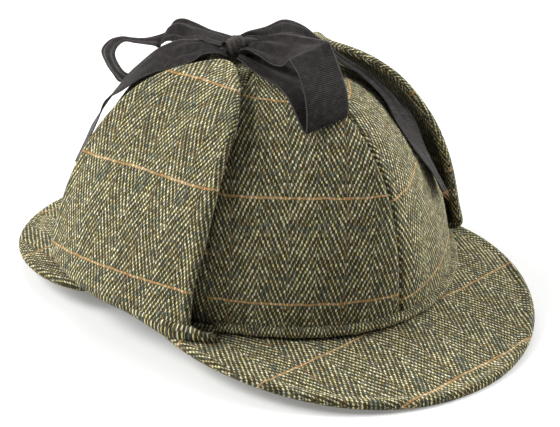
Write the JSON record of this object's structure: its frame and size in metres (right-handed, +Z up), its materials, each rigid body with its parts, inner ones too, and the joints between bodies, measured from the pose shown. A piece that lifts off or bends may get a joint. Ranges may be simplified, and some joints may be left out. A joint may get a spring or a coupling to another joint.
{
  "type": "deerstalker hat",
  "caption": "Tweed deerstalker hat with a front and a back peak and two ear flaps folded up against the crown, held by ribbons tied in a bow on top.",
  "frame": {"origin": "middle of the whole hat's outline, on the surface that its peaks rest on", "axes": "+Z up, -Y to the front of the hat, +X to the wearer's left"},
  "size_m": [0.204, 0.2858, 0.1282],
  "materials": {
    "tweed": "rough herringbone wool tweed with a rust and orange check",
    "ribbon": "matt charcoal grosgrain"
  },
  "bodies": {
    "root": {"back_peak": "tweed", "bow_knot": "ribbon", "bow_loop_back": "ribbon", "bow_loop_front": "ribbon", "bow_tail_left": "ribbon", "bow_tail_right": "ribbon", "crown_panel_1": "tweed", "crown_panel_2": "tweed", "crown_panel_3": "tweed", "crown_panel_4": "tweed", "crown_panel_5": "tweed", "crown_panel_6": "tweed", "crown_roll_back": "tweed", "crown_roll_front": "tweed", "ear_flap_left": "tweed", "ear_flap_right": "tweed", "front_peak": "tweed", "ribbon_tie_left": "ribbon", "ribbon_tie_right": "ribbon"}
  },
  "joints": []
}
